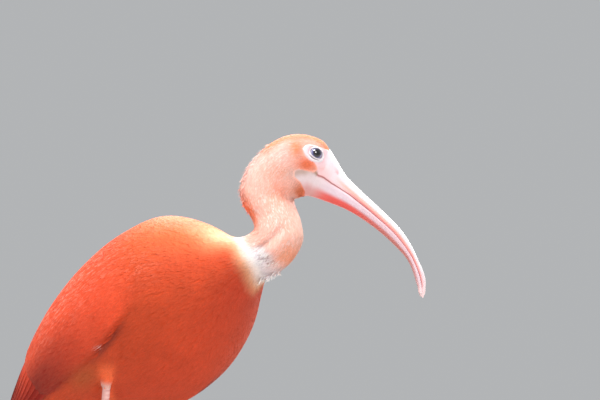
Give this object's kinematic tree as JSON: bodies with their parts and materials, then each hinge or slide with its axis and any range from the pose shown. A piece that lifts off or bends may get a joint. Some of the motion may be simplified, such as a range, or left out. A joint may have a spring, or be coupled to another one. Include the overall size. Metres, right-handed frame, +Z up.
{
  "type": "scarlet ibis",
  "caption": "Life-size still model of a wading bird: scarlet body, folded wings, long down-curved bill, head turned slightly left, standing at ease.",
  "frame": {"origin": "on the floor under the middle of the bird's box", "axes": "+X the way the body faces, +Y the bird's left side, +Z up"},
  "size_m": [0.3551, 0.1303, 0.3416],
  "materials": {
    "body_plumage": "smooth scarlet contour feathers",
    "flight_feathers": "deep red flight and tail feathers, longest wing tips blue-black",
    "neck_plumage": "short salmon-orange feathers with bare pinkish skin about the face",
    "bill": "satin pale pink horn",
    "eye": "wet dark eye",
    "leg_skin": "scaly pale pink skin",
    "claw": "dark worn horn"
  },
  "bodies": {
    "root": {"bill_lower": "bill", "bill_upper": "bill", "claw_left_hind": "claw", "claw_left_inner": "claw", "claw_left_middle": "claw", "claw_left_outer": "claw", "claw_right_hind": "claw", "claw_right_inner": "claw", "claw_right_middle": "claw", "claw_right_outer": "claw", "eye_left": "eye", "eye_right": "eye", "foot_left": "leg_skin", "foot_right": "leg_skin", "head": "neck_plumage", "neck_lower": "neck_plumage", "neck_upper": "neck_plumage", "tail": "flight_feathers", "tarsus_left": "leg_skin", "tarsus_right": "leg_skin", "thigh_left": "body_plumage", "thigh_right": "body_plumage", "tibia_left": "leg_skin", "tibia_right": "leg_skin", "torso": "body_plumage", "wing_left": "flight_feathers", "wing_right": "flight_feathers"}
  },
  "joints": []
}
